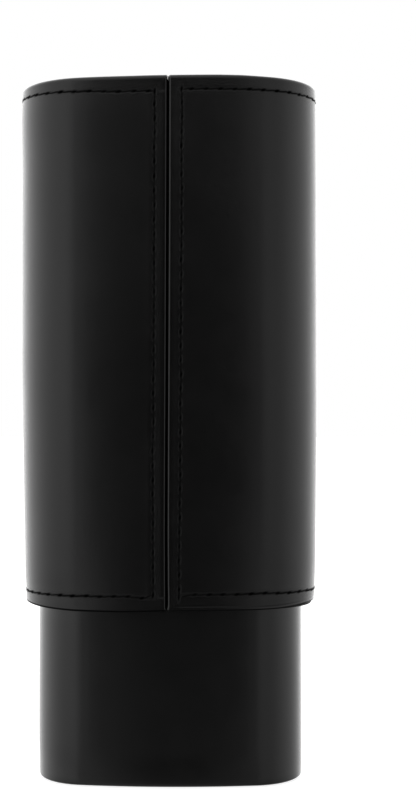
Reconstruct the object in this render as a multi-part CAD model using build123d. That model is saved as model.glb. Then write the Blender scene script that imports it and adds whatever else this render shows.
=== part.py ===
"""Telescopic oval leather case: an open-topped inner cup and a closed outer sleeve that slides over it.

Frame: millimetres, +Z up, origin at the centre of the flat foot under the cup. The long side of the
oval runs along X, the short side along Y. The sleeve's butt seam is on the -Y face, the cup's on
the +Y face. The sleeve is drawn part-way out, with a band of the cup showing below its mouth.

Every wall is placed by its inset: its distance inwards from the sleeve's outside.
"""

from build123d import *
import math
import os

# ---------------------------------------------------------------- driving dimensions
# Outer oval of the sleeve: two end arcs joined by two slightly bowed faces
SLEEVE_HALF_WIDTH = 41.7
SLEEVE_HALF_DEPTH = 20.9
SLEEVE_END_RADIUS = 19.3

SLEEVE_MOUTH_Z = 49.5  # lower edge of the sleeve as drawn
SLEEVE_LENGTH = 146.3
CUP_LENGTH = 145.7  # top of the cup above the frame's origin
CUP_INSET = 4.3  # the cup's outside

# Sleeve wall, outside to inside
WRAP_T = 1.4
CORE_T = 1.7
LINING_T = 0.9
TURN_T = 0.9  # skived wrap leather turned in over the top of the core
CROWN_ROUND = 1.2
CROWN_INNER_ROUND = 0.4
WRAP_MOUTH_ROUND = 0.3

# Thin strip that caps the layered edge at the mouth
BINDING_T = 0.6
BINDING_INSET = 0.7
BINDING_ROUND = 0.25

# Sleeve seam: butt gap between the two ends of the wrap, and the strip behind it
SEAM_GAP = 0.6
SEAM_STRIP_W = 9.6
SEAM_STRIP_T = 0.5

# Stitching: thread runs set in a shallow groove
STITCH_FROM_SEAM = 3.35  # from the wrap's cut end
STITCH_FROM_EDGE = 3.85  # from the mouth and from the crown
THREAD_W = 0.7
THREAD_PROUD = 0.12
THREAD_SEAT = 0.50
THREAD_END_GAP = 0.1  # between the end of a seam run and the row it meets
GROOVE_CLEAR = 0.05
GROOVE_OVERCUT = 0.5  # extra reach of the groove cutter outside the wrap

# Closed end of the sleeve
CROWN_RECESS = 1.1
END_CUP_T = 1.0
END_FLANGE_L = 6.5
END_CUP_ROUND = 0.5
END_BOARD_T = 2.0
CEILING_T = 0.8

# Cup wall, outside to inside
CUP_WRAP_T = 1.1
CUP_CORE_T = 1.3
CUP_LINING_T = 0.8
CUP_TURN_T = 0.9  # turned edge over the mouth
CUP_MOUTH_ROUND = 0.7
CUP_SEAM_GAP = 0.25
CUP_SEAM_STRIP_W = 9.0
CUP_SEAM_STRIP_T = 0.4

# Cup foot
CUP_FOOT_TURN_W = 5.0  # turned edge under the foot
CUP_FOOT_TURN_T = 1.1
CUP_FOOT_STEP = 0.2  # the foot panel stands this far below the turned edge
CUP_FOOT_ROUND = 0.95
FOOT_PANEL_GAP = 0.08  # between the panel and the turned edge
FOOT_PANEL_ROUND = 0.15
CUP_BOARD_T = 2.0
CUP_FLOOR_T = 0.8

FIT = 0.02  # glue-line gap between parts that are bonded face to face
CHANNEL_SIDE_CLEAR = 0.1  # on each side of a seam strip
OVERCUT = 1.0  # cutters run this far past the ends they open
REACH = 60.0  # longer than the oval's half-sizes
FRONT, BACK = -1, 1  # sign of Y on the two bowed faces

# ---------------------------------------------------------------- derived places
# Oval: end arcs centred at (+-END_X, 0), face arcs at (0, +-FACE_Y), tangent where they meet
END_X = SLEEVE_HALF_WIDTH - SLEEVE_END_RADIUS
BOW = SLEEVE_HALF_DEPTH - SLEEVE_END_RADIUS
FACE_RADIUS = (END_X**2 + SLEEVE_HALF_DEPTH**2 - SLEEVE_END_RADIUS**2) / (2 * BOW)
FACE_Y = SLEEVE_HALF_DEPTH - FACE_RADIUS

# Sleeve
CORE_IN = WRAP_T + CORE_T
LINING_IN = CORE_IN + LINING_T
CROWN_Z = SLEEVE_MOUTH_Z + SLEEVE_LENGTH
WRAP_Z = SLEEVE_MOUTH_Z + BINDING_T
TURN_Z = CROWN_Z - TURN_T
END_TOP_Z = CROWN_Z - CROWN_RECESS
END_UNDER_Z = END_TOP_Z - END_CUP_T
FLANGE_Z = END_TOP_Z - END_FLANGE_L

# Stitching centre lines
THREAD_HALF = THREAD_W / 2
STITCH_X = SEAM_GAP / 2 + STITCH_FROM_SEAM
ROW_LOW_Z = SLEEVE_MOUTH_Z + STITCH_FROM_EDGE
ROW_HIGH_Z = CROWN_Z - STITCH_FROM_EDGE

# Cup
CUP_WRAP_IN = CUP_INSET + CUP_WRAP_T
CUP_CORE_IN = CUP_WRAP_IN + CUP_CORE_T
CUP_LINING_IN = CUP_CORE_IN + CUP_LINING_T
CUP_FOOT_IN = CUP_INSET + CUP_FOOT_TURN_W
FOOT_TOP_Z = CUP_FOOT_STEP + CUP_FOOT_TURN_T
CUP_BOARD_Z = FOOT_TOP_Z + CUP_BOARD_T
CUP_TURN_Z = CUP_LENGTH - CUP_TURN_T


# ---------------------------------------------------------------- shape helpers
def oval_face(inset):
    """The oval section at an inset; a negative inset lies outside the sleeve."""
    radius = SLEEVE_END_RADIUS - inset
    half_width = SLEEVE_HALF_WIDTH - inset
    half_depth = SLEEVE_HALF_DEPTH - inset
    centres = math.hypot(END_X, -FACE_Y)
    # Where the arcs meet: on the line through their two centres
    meet_x = END_X + radius * END_X / centres
    meet_y = radius * -FACE_Y / centres
    wire = Wire(
        [
            ThreePointArc((-meet_x, meet_y), (0, half_depth), (meet_x, meet_y)),
            ThreePointArc((meet_x, meet_y), (half_width, 0), (meet_x, -meet_y)),
            ThreePointArc((meet_x, -meet_y), (0, -half_depth), (-meet_x, -meet_y)),
            ThreePointArc((-meet_x, -meet_y), (-half_width, 0), (-meet_x, meet_y)),
        ]
    )
    return Face(wire)


def oval(inset, z0, z1):
    """Solid oval prism."""
    return Pos(0, 0, z0) * extrude(oval_face(inset), z1 - z0, dir=(0, 0, 1))


def tube(outer, inner, z0, z1):
    """Oval tube between two insets."""
    return oval(outer, z0, z1) - oval(inner, z0 - OVERCUT, z1 + OVERCUT)


def face_block(x0, x1, face, z0, z1):
    """Block from the XZ plane out past one bowed face."""
    centre = Pos((x0 + x1) / 2, face * REACH / 2, (z0 + z1) / 2)
    return centre * Box(x1 - x0, REACH, z1 - z0)


def distance_from_oval(point, inset):
    """Signed distance in plan from the oval of this inset."""
    x, y = abs(point.X), abs(point.Y)
    meet_angle = math.atan2(END_X, -FACE_Y)
    if x > END_X + 1e-6 and math.atan2(x - END_X, y) > meet_angle:
        return math.hypot(x - END_X, y) - (SLEEVE_END_RADIUS - inset)
    return math.hypot(x, y - FACE_Y) - (FACE_RADIUS - inset)


def round_edges(part, z, radius, inset=None):
    """Rounds the horizontal edges at height z: all of them, or only those at the given inset."""
    edges = []
    for edge in part.edges():
        box = edge.bounding_box()
        if abs(box.min.Z - z) < 1e-4 and abs(box.max.Z - z) < 1e-4:
            if inset is None or abs(distance_from_oval(edge @ 0.5, inset)) < 1e-3:
                edges.append(edge)
    return fillet(edges, radius)


def core_and_strip(outside, outer, inner, strip_w, strip_t, face, z0, z1):
    """Rigid core with a shallow channel behind the seam, and the strip that fills it."""
    strip_half = strip_w / 2
    channel_half = strip_half + CHANNEL_SIDE_CLEAR
    low, high = z0 - OVERCUT, z1 + OVERCUT
    core = tube(outer + FIT, inner, z0 + FIT, z1 - FIT)
    channel = tube(outside, outer + strip_t + 2 * FIT, low, high)
    channel = channel & face_block(-channel_half, channel_half, face, low, high)
    strip = tube(outer + FIT, outer + strip_t + FIT, z0 + FIT, z1 - FIT)
    strip = strip & face_block(-strip_half, strip_half, face, low, high)
    return core - channel, strip


# ---------------------------------------------------------------- stitching
# With grow = 0 these make the thread; with a clearance they make its groove cutter.
def thread_ring(grow, z0, z1):
    proud = THREAD_PROUD + (GROOVE_OVERCUT if grow else 0)
    return tube(-proud, THREAD_SEAT + grow, z0, z1)


def stitch_row(z, grow=0.0):
    """Run round the oval that stops at the seam's own runs."""
    half = THREAD_HALF + grow
    stop_x = STITCH_X - half
    ring = thread_ring(grow, z - half, z + half)
    return ring - face_block(-stop_x, stop_x, FRONT, z - 5, z + 5)


def stitch_column(side, grow=0.0, end_gap=0.0):
    """Upright run beside the seam, between the two rows; side is the sign of X."""
    x = side * STITCH_X
    half = THREAD_HALF + grow
    end = THREAD_HALF + end_gap
    ring = thread_ring(grow, ROW_LOW_Z + end, ROW_HIGH_Z - end)
    return ring & face_block(x - half, x + half, FRONT, ROW_LOW_Z, ROW_HIGH_Z)


def stitching():
    return {
        "crown_stitching": stitch_row(ROW_HIGH_Z),
        "mouth_stitching": stitch_row(ROW_LOW_Z),
        "seam_stitching_left": stitch_column(-1, end_gap=THREAD_END_GAP),
        "seam_stitching_right": stitch_column(1, end_gap=THREAD_END_GAP),
    }


# ---------------------------------------------------------------- sleeve
def sleeve_wrap():
    """Outer leather, turned in over the core at the crown, with its seam and stitch grooves."""
    low, high = WRAP_Z - OVERCUT, CROWN_Z + OVERCUT
    wrap = oval(0.0, WRAP_Z, CROWN_Z)
    wrap = wrap - oval(WRAP_T, low, TURN_Z)
    wrap = wrap - oval(CORE_IN, TURN_Z - OVERCUT, high)
    wrap = round_edges(wrap, CROWN_Z, CROWN_ROUND, inset=0.0)
    wrap = round_edges(wrap, CROWN_Z, CROWN_INNER_ROUND, inset=CORE_IN)
    wrap = round_edges(wrap, WRAP_Z, WRAP_MOUTH_ROUND, inset=0.0)
    wrap = wrap - face_block(-SEAM_GAP / 2, SEAM_GAP / 2, FRONT, low, high)
    for z in (ROW_HIGH_Z, ROW_LOW_Z):
        wrap = wrap - stitch_row(z, GROOVE_CLEAR)
    for side in (-1, 1):
        wrap = wrap - stitch_column(side, GROOVE_CLEAR)
    return wrap


def sleeve_end():
    """Pressed leather cup just below the crown, its flange running down inside the core,
    with a board and a ceiling under it."""
    leather = oval(CORE_IN + FIT, FLANGE_Z, END_TOP_Z)
    leather = leather - oval(LINING_IN, FLANGE_Z - OVERCUT, END_UNDER_Z)
    board_z = END_UNDER_Z - END_BOARD_T
    return {
        "sleeve_end_leather": round_edges(leather, END_TOP_Z, END_CUP_ROUND),
        "sleeve_end_board": oval(LINING_IN + FIT, board_z, END_UNDER_Z - FIT),
        "sleeve_ceiling_lining": oval(LINING_IN + FIT, board_z - CEILING_T, board_z - FIT),
    }


def sleeve():
    core, strip = core_and_strip(
        outside=0.0, outer=WRAP_T, inner=CORE_IN,
        strip_w=SEAM_STRIP_W, strip_t=SEAM_STRIP_T, face=FRONT, z0=WRAP_Z, z1=TURN_Z,
    )
    binding = tube(BINDING_INSET, LINING_IN, SLEEVE_MOUTH_Z, WRAP_Z)
    return {
        "sleeve_leather_wrap": sleeve_wrap(),
        "sleeve_core_tube": core,
        "sleeve_seam_strip": strip,
        "sleeve_lining": tube(CORE_IN + FIT, LINING_IN, WRAP_Z + FIT, FLANGE_Z - FIT),
        "sleeve_mouth_binding": round_edges(binding, SLEEVE_MOUTH_Z, BINDING_ROUND),
    }


# ---------------------------------------------------------------- cup
def cup_wrap():
    """Cup leather, turned in over the mouth and under the foot."""
    high = CUP_LENGTH + OVERCUT
    wrap = oval(CUP_INSET, CUP_FOOT_STEP, CUP_LENGTH)
    wrap = wrap - oval(CUP_WRAP_IN, FOOT_TOP_Z, CUP_TURN_Z)
    wrap = wrap - oval(CUP_LINING_IN, CUP_TURN_Z - OVERCUT, high)
    wrap = wrap - oval(CUP_FOOT_IN, -OVERCUT, FOOT_TOP_Z + OVERCUT)
    wrap = round_edges(wrap, CUP_FOOT_STEP, CUP_FOOT_ROUND, inset=CUP_INSET)
    wrap = round_edges(wrap, CUP_LENGTH, CUP_MOUTH_ROUND, inset=CUP_INSET)
    return wrap - face_block(-CUP_SEAM_GAP / 2, CUP_SEAM_GAP / 2, BACK, -OVERCUT, high)


def cup():
    core, strip = core_and_strip(
        outside=CUP_INSET, outer=CUP_WRAP_IN, inner=CUP_CORE_IN,
        strip_w=CUP_SEAM_STRIP_W, strip_t=CUP_SEAM_STRIP_T, face=BACK,
        z0=FOOT_TOP_Z, z1=CUP_TURN_Z,
    )
    foot = oval(CUP_FOOT_IN + FOOT_PANEL_GAP, 0.0, FOOT_TOP_Z)
    floor_z = CUP_BOARD_Z + FIT
    return {
        "cup_leather_wrap": cup_wrap(),
        "cup_core_tube": core,
        "cup_seam_strip": strip,
        "cup_end_board": oval(CUP_CORE_IN + FIT, FOOT_TOP_Z + FIT, CUP_BOARD_Z),
        "cup_foot_leather": round_edges(foot, 0.0, FOOT_PANEL_ROUND),
        "cup_floor_lining": oval(CUP_LINING_IN + FIT, floor_z, CUP_BOARD_Z + CUP_FLOOR_T),
        "cup_lining": tube(CUP_CORE_IN + FIT, CUP_LINING_IN, floor_z, CUP_TURN_Z - FIT),
    }


# ---------------------------------------------------------------- write
os.makedirs("parts", exist_ok=True)
for group in (sleeve(), stitching(), sleeve_end(), cup()):
    for name, shape in group.items():
        solids = shape.solids()
        body = solids[0] if len(solids) == 1 else Compound(children=solids)
        body.label = name
        export_step(body, "parts/" + name + ".step")
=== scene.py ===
"""Telescopic oval leather case: a sewn sleeve that slips down over a shallower-walled cup.

The case stands upright on the floor at z = 0. Its long axis lies along X, its front faces -Y, and
the sleeve's mouth is at the bottom. The sleeve's seam runs down the front centre, the cup's down
the back. Sizes are in millimetres and are turned into metres as each mesh is made.

Walls are described by three coordinates: arc, the way round the sleeve's outer oval from the front
centre towards +X; out, the distance outwards from that oval; and z.
"""

import math

import bpy
import numpy as np
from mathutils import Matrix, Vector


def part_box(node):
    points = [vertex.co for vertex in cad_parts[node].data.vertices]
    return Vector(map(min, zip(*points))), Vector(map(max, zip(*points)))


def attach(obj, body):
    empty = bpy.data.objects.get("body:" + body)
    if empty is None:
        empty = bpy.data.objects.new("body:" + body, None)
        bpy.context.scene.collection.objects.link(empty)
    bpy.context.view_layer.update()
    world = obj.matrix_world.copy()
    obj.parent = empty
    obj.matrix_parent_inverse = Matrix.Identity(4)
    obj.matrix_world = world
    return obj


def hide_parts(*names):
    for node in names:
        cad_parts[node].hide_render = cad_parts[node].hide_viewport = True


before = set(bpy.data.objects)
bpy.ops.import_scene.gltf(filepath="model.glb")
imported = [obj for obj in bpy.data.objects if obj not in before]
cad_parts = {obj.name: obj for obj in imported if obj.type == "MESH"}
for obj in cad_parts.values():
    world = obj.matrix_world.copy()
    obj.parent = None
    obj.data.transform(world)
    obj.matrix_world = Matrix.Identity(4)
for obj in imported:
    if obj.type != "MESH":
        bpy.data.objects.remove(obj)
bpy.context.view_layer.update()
rng = np.random.default_rng(7)
MM = 0.001


# ------------------------------------------------------------------ sizes, from the frame
def box_mm(name):
    """Lower and upper corners of a frame piece, in mm."""
    return [np.array(corner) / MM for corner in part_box(name)]


def z_span(name):
    """Lowest and highest z of a frame piece."""
    return [corner[2] for corner in box_mm(name)]


wrap_lo, wrap_hi = box_mm("sleeve_leather_wrap")
cup_lo, cup_hi = box_mm("cup_leather_wrap")
seam_row_lo, seam_row_hi = box_mm("seam_stitching_right")

HALF_WIDTH = wrap_hi[0]
HALF_DEPTH = (wrap_hi[1] - wrap_lo[1]) / 2
END_RADIUS = 19.3  # round ends of the oval
CROWN = wrap_hi[2]
WRAP_FOOT = wrap_lo[2]
MOUTH = z_span("sleeve_mouth_binding")[0]
ROW_TOP = sum(z_span("crown_stitching")) / 2
ROW_BOTTOM = sum(z_span("mouth_stitching")) / 2
SEAM_ROW = (seam_row_lo[0] + seam_row_hi[0]) / 2  # from the seam to the row on either side

WRAP_THICK = 1.4
CORE_INSET = 3.1  # inner face of the sleeve's board
LINING_INSET = 4.0  # inner face of the sleeve's lining
TURN_THICK = 0.9  # leather turned in over the crown
SEAM_GAP = 0.3  # half the gap in the sleeve's seam
CUT_LEFT, CUT_RIGHT = 0.36, 0.62  # rounding of the cut ends beside the seam
FOOT_RADIUS, CROWN_RADIUS, LIP_RADIUS = 0.32, 1.1, 0.4  # corners of the wrap's section
FACE_LO = WRAP_FOOT + FOOT_RADIUS
FACE_HI = CROWN - CROWN_RADIUS
SPLIT = 100  # a level on the plain wall: features at the crown lie above it, at the mouth below

CUP_INSET = HALF_WIDTH - cup_hi[0]
CUP_WRAP_THICK = 1.1
CUP_CORE_THICK = 1.3
CUP_SEAM_GAP = 0.125  # half the gap in the cup's seam

# ------------------------------------------------------------------ the oval
END_X = HALF_WIDTH - END_RADIUS
FACE_RADIUS = (END_X**2 + HALF_DEPTH**2 - END_RADIUS**2) / (2 * (HALF_DEPTH - END_RADIUS))
FACE_TURN = math.atan2(END_X, FACE_RADIUS - HALF_DEPTH)
ARC_FACE = FACE_RADIUS * FACE_TURN  # arc where the front face meets the round end
ARC_END = ARC_FACE + END_RADIUS * (math.pi - 2 * FACE_TURN)  # and where the end meets the back
HALF_LOOP = ARC_END + ARC_FACE
LOOP = 2 * HALF_LOOP


def fold(arc):
    """The same place, as an arc between -HALF_LOOP and HALF_LOOP; negative is the left (-X) side."""
    return (np.asarray(arc) + HALF_LOOP) % LOOP - HALF_LOOP


def oval(arc):
    """Points and outward normals of the sleeve's outer oval."""
    signed = fold(arc)
    mirror = np.stack([np.where(signed < 0, -1.0, 1.0), np.ones(signed.shape)], -1)
    far = np.abs(signed)
    on_front, before_back = far < ARC_FACE, far < ARC_END
    on_end = FACE_TURN + (far - ARC_FACE) / END_RADIUS
    on_back = math.pi - (HALF_LOOP - far) / FACE_RADIUS
    angle = np.where(on_front, far / FACE_RADIUS, np.where(before_back, on_end, on_back))
    normals = np.stack([np.sin(angle), -np.cos(angle)], -1)
    front = np.array([0, FACE_RADIUS - HALF_DEPTH]) + FACE_RADIUS * normals
    end = np.array([END_X, 0]) + END_RADIUS * normals
    back = np.array([0, HALF_DEPTH - FACE_RADIUS]) + FACE_RADIUS * normals
    points = np.where(before_back[..., None], end, back)
    points = np.where(on_front[..., None], front, points)
    return points * mirror, normals * mirror


def wall_points(arc, out, z):
    """Points in space from wall coordinates."""
    points, normals = oval(arc)
    return np.concatenate([points + normals * out[..., None], z[..., None]], -1)


def smooth(x, start, end):
    ratio = np.clip((x - start) / (end - start), 0, 1)
    return ratio * ratio * (3 - 2 * ratio)


def bell(x, width):
    return np.exp(-((x / width) ** 2))


def lookup(x, table):
    """Straight-line interpolation in a table of (x, value) pairs."""
    return np.interp(x, *zip(*table))


def round_off(distance, radius):
    """How far a rounded edge has dropped at a distance from its end."""
    drop = radius - np.sqrt(np.clip(radius**2 - (radius - distance) ** 2, 0, None))
    return np.where(distance < radius, drop, 0.0)


def soft_noise(arc, z, cell_arc, cell_z, seed, rows=80):
    """Smooth value noise, periodic round the oval, of about -1 to 1."""
    columns = max(4, int(round(LOOP / cell_arc)))
    table = np.random.default_rng(seed).uniform(-1, 1, (columns, rows))
    across = ((np.asarray(arc) + HALF_LOOP) / LOOP * columns) % columns
    up = np.clip(np.asarray(z) / cell_z + 2, 0, rows - 2.001)
    i, j = np.floor(across).astype(int) % columns, np.floor(up).astype(int)
    across, up = across - np.floor(across), up - j
    across = across**3 * (across * (across * 6 - 15) + 10)
    up = up**3 * (up * (up * 6 - 15) + 10)
    i_next = (i + 1) % columns
    lower = table[i, j] * (1 - across) + table[i_next, j] * across
    upper = table[i, j + 1] * (1 - across) + table[i_next, j + 1] * across
    return lower * (1 - up) + upper * up


# ------------------------------------------------------------------ mesh helpers
def add_mesh(name, verts_mm, faces, attrs=None):
    mesh = bpy.data.meshes.new(name)
    mesh.from_pydata((np.asarray(verts_mm) * MM).tolist(), [], faces)
    mesh.update()
    mesh.validate()
    # every mesh is a closed surface: a negative volume means its faces were wound inwards
    mesh.calc_loop_triangles()
    triangles = np.zeros(len(mesh.loop_triangles) * 3, np.int32)
    mesh.loop_triangles.foreach_get("vertices", triangles)
    coords = np.zeros(len(mesh.vertices) * 3, np.float32)
    mesh.vertices.foreach_get("co", coords)
    corners = coords.reshape(-1, 3).astype(float)[triangles.reshape(-1, 3)]
    if np.einsum("ij,ij->", corners[:, 0], np.cross(corners[:, 1], corners[:, 2])) < 0:
        mesh.flip_normals()
        mesh.update()
    mesh.polygons.foreach_set("use_smooth", np.ones(len(mesh.polygons), bool))
    for key, values in (attrs or {}).items():
        attribute = mesh.attributes.new(key, "FLOAT", "POINT")
        attribute.data.foreach_set("value", np.asarray(values, np.float32))
    ob = bpy.data.objects.new(name, mesh)
    bpy.context.scene.collection.objects.link(ob)
    return ob


def grid_faces(columns, rows, blocks, closed=False):
    """Faces over an index grid, cut into blocks of different fineness.

    A block is (first column, last column, step, first row, last row, step). A coarse cell next to
    finer ones takes their corners into its own outline, so the sheet has no cracks. Rows always
    close on themselves; columns close too, or else get a cap at each end.
    """
    used = np.zeros((columns, rows), bool)
    cells = []

    def stops(first, last, step):
        found = list(range(first, last, step))
        if len(found) > 1 and last - found[-1] < step * 0.5:
            found.pop()
        return found + [last]

    for i_first, i_last, i_step, k_first, k_last, k_step in blocks:
        i_stops, k_stops = stops(i_first, i_last, i_step), stops(k_first, k_last, k_step)
        for i0, i1 in zip(i_stops[:-1], i_stops[1:]):
            for k0, k1 in zip(k_stops[:-1], k_stops[1:]):
                cells.append((i0, i1, k0, k1))
                for i in (i0, i1):
                    for k in (k0, k1):
                        used[i % columns, k % rows] = True
    ids = np.full((columns, rows), -1)
    ids[used] = np.arange(used.sum())

    faces = []
    for i0, i1, k0, k1 in cells:
        outline = [(i, k0) for i in range(i0, i1)] + [(i1, k) for k in range(k0, k1)]
        outline += [(i, k1) for i in range(i1, i0, -1)] + [(i0, k) for k in range(k1, k0, -1)]
        corners = [int(ids[i % columns, k % rows]) for i, k in outline]
        faces.append([corner for corner in corners if corner >= 0])
    if not closed:
        for cap in (ids[0], ids[-1][::-1]):
            faces.append([int(corner) for corner in cap if corner >= 0])
    return used, faces


def corner_lines(centre_out, centre_z, radius, start, end, count, weight=1.0):
    """Section lines (out, z, outward share, upward share, weight) round a corner.

    Angles are in degrees: 0 is straight out of the wall and 90 is up. The shares are the surface's
    direction there, and the weight is how much of the surface relief the line takes.
    """
    lines = []
    for angle in np.radians(np.linspace(start, end, count)):
        out_dir, up_dir = math.cos(angle), math.sin(angle)
        out, z = centre_out + radius * out_dir, centre_z + radius * up_dir
        lines.append((out, z, out_dir, up_dir, weight))
    return lines


# ------------------------------------------------------------------ sleeve: broad shape
# (arc from the face's centre, degrees by which the surface turns away from the true oval)
BEND_TURN = [
    (0, 0), (5, -0.8), (10, -1.0), (15, -0.9), (19, -0.3), (21.8, 0.7), (24.5, 2.3),
    (26.5, 1.6), (29, 0.3), (33, 0.4), (40, 0.3), (46, 0.0), (60, 0.0),
]
BEND_ARC = np.linspace(0, 60, 601)
bend_turn = np.pad(lookup(BEND_ARC, BEND_TURN), 10, mode="edge")
bend_turn = np.convolve(bend_turn, np.ones(21) / 21, mode="valid")
bend_steps = np.cumsum((bend_turn[1:] + bend_turn[:-1]) / 2 * 0.1)
BEND_OUT = -np.concatenate([[0], bend_steps]) * math.pi / 180

# (height above the mouth, how far the wall stands out) for the left and right ends
LEFT_BULGE = [
    (0, -0.50), (4.5, -0.40), (8.5, -0.10), (16.5, 0.0), (30.5, 0.26), (45.5, 0.50),
    (65.5, 0.74), (90.5, 0.66), (126.5, 0.68), (137.5, 0.88), (142.5, 0.68), (150.5, 0.64),
]
RIGHT_BULGE = [
    (0, -0.65), (3.5, -0.45), (7.5, -0.28), (12.5, -0.1), (30.5, 0.02), (45.5, 0.13),
    (84.5, 0.10), (100.5, 0.0), (125.5, -0.1), (140.5, -0.2), (150.5, -0.22),
]
# (height above the mouth, x of the seam)
SEAM_LEAN = [
    (0.5, -0.32), (20.5, -0.42), (45.5, -0.33), (80.5, -0.16), (115.5, -0.02), (146.5, 0.06),
]
# (height above the mouth, extra shift of the right seam row)
RIGHT_ROW_SHIFT = [(0.5, -0.20), (10.5, -0.12), (22.5, 0.05), (45.5, 0.18), (150.5, 0.22)]
# (arc away from the seam, height above the row's level) for each side of the two rows
TOP_ROW_LEFT = [
    (0, -0.55), (6, -0.5), (12, -0.6), (18, -0.48), (24, -0.41), (30, -0.34), (36, -0.25),
    (42, -0.12), (50, 0.05), (HALF_LOOP, 0.0),
]
TOP_ROW_RIGHT = [(0, 0.05), (24, 0.05), (32, -0.08), (42, -0.08), (HALF_LOOP, 0.0)]
BOTTOM_ROW_LEFT = [(0, -0.3), (6.9, -0.42), (10.7, 0.02), (40, -0.1), (HALF_LOOP, 0.1)]
BOTTOM_ROW_RIGHT = [(0, 0.6), (12, 0.6), (24, 0.74), (30, 0.66), (45, 0.4), (HALF_LOOP, 0.1)]
# (arc, height of the crown's edge above its level)
CROWN_RISE = [
    (-HALF_LOOP, 0), (-62, -0.4), (-53, -0.95), (-47, -0.70), (-38, -0.5), (-25, -0.22),
    (-10, 0.02), (-4, 0.14), (0, 0.18), (8, 0.28), (14, 0.35), (20, 0.32), (27, 0.1),
    (38, 0.0), (48, -0.1), (60, -0.05), (HALF_LOOP, 0),
]
# (arc, height of the leather's lower edge above its level)
EDGE_RISE = [
    (-HALF_LOOP, 0), (-66, 0.05), (-50, 0.12), (-38, -0.50), (-26, -0.98), (-13, -1.08),
    (0, -0.70), (12, -0.50), (23.5, -0.58), (31, -0.45), (42, 0.22), (52, 0.34), (66, 0.1),
    (HALF_LOOP, 0),
]


def bend(arc):
    """Stiff leather turns gradually from the flat faces into the round ends."""
    far = np.abs(fold(arc))
    far = np.minimum(far, HALF_LOOP - far)  # the back is the same as the front
    return np.interp(far, BEND_ARC, BEND_OUT)


def bulge(arc, z):
    """The shell is a little out of true: fuller on its left side, drawn in towards the mouth."""
    x = oval(arc)[0][..., 0]
    left = smooth(-x, 8, 40) * lookup(z - MOUTH, LEFT_BULGE)
    right = smooth(x, 8, 40) * lookup(z - MOUTH, RIGHT_BULGE)
    return left + right + bend(arc)


def wave(arc, z):
    return 0.045 * soft_noise(arc, z, 17, 21, 11) + 0.022 * soft_noise(arc, z, 8, 9, 12)


def seam_x(z):
    """The seam leans by a few tenths of a millimetre down the front."""
    return lookup(z - MOUTH, SEAM_LEAN)


def row_level(arc, middle, left, right):
    signed = fold(arc)
    return middle + np.where(signed < 0, lookup(-signed, left), lookup(signed, right))


def row_top(arc):
    return row_level(arc, ROW_TOP, TOP_ROW_LEFT, TOP_ROW_RIGHT)


def row_bottom(arc):
    return row_level(arc, ROW_BOTTOM, BOTTOM_ROW_LEFT, BOTTOM_ROW_RIGHT)


def seam_row_arc(z, side):
    """Where the seam row lies on the left (-1) or the right (1)."""
    if side < 0:
        return seam_x(z) - SEAM_ROW + 0.06
    return seam_x(z) + SEAM_ROW + lookup(z - MOUTH, RIGHT_ROW_SHIFT)


# ------------------------------------------------------------------ sleeve: needle holes
def row_run(first_right, pitch_right, first_left, pitch_left):
    """Arcs of a row's holes, from right of the seam all the way round to its left."""
    right = first_right + pitch_right * np.arange(15)
    left = (LOOP + first_left - pitch_left * np.arange(15))[::-1]
    count = int(round((left[0] - right[-1]) / 3.95))
    return np.concatenate([right, np.linspace(right[-1], left[0], count + 1)[1:-1], left])


row_points = {}  # (arc, z) of the holes in each row
for key, level_at, run in (
    ("top", row_top, (6.6, 3.95, -5.2, 4.07)),
    ("bottom", row_bottom, (7.4, 3.87, -6.9, 3.88)),
):
    arcs = row_run(*run)
    arcs = arcs + rng.normal(0, 0.07, arcs.shape)
    heights = level_at(arcs) + rng.normal(0, 0.05, arcs.shape)
    row_points[key] = np.stack([arcs, heights], -1)

seam_points = {}  # the same for the seam rows, from the bottom up
left_heights = np.concatenate([ROW_BOTTOM + 0.29 + 3.948 * np.arange(35), [ROW_TOP - 0.60]])
right_heights = np.concatenate(
    [[ROW_BOTTOM + 0.05], ROW_BOTTOM + 2.05 + 3.905 * np.arange(35), [ROW_TOP + 0.05]]
)
for side, heights in ((-1, left_heights), (1, right_heights)):
    heights = heights + rng.normal(0, 0.07, heights.shape)
    arcs = seam_row_arc(heights, side) + rng.normal(0, 0.06, heights.shape)
    seam_points[side] = np.stack([arcs, heights], -1)

# (arc, z, whether the row is upright)
holes = [(*point, False) for points in row_points.values() for point in points]
holes += [(*point, True) for points in seam_points.values() for point in points]
hole_depth = rng.uniform(0.75, 1.15, len(holes))
hole_lip = rng.uniform(0.0, 1.0, (len(holes), 2)) ** 1.5

# the rows' thread starts and ends in the seam rows' last holes
for key, last in (("top", -1), ("bottom", 0)):
    start, end = seam_points[1][last], seam_points[-1][last] + np.array([LOOP, 0])
    row_points[key] = np.concatenate([[start], row_points[key], [end]])


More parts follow.
